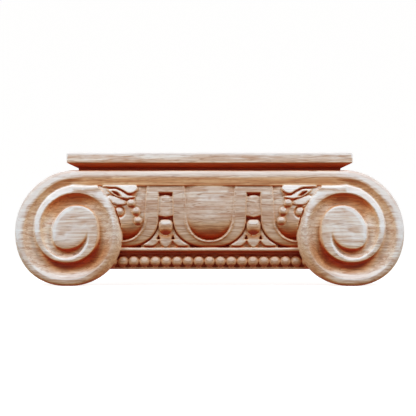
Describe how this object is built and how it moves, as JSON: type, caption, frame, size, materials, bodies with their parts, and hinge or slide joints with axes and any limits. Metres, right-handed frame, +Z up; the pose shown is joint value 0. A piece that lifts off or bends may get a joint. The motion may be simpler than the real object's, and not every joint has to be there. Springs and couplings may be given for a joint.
{
  "type": "ionic pilaster capital",
  "caption": "Flat-backed carved wooden Ionic pilaster capital with two spiral scrolls, an egg-and-dart face, a bead row and a moulded abacus.",
  "frame": {"origin": "middle of the box's underside, at the level of the two flats under the scrolls", "axes": "+X to the right along the width as seen from the front, +Y from the carved front to the flat back, +Z up"},
  "size_m": [0.212, 0.028, 0.0725],
  "materials": {
    "wood": "bare, sanded"
  },
  "bodies": {
    "root": {"capital": "wood"}
  },
  "joints": []
}
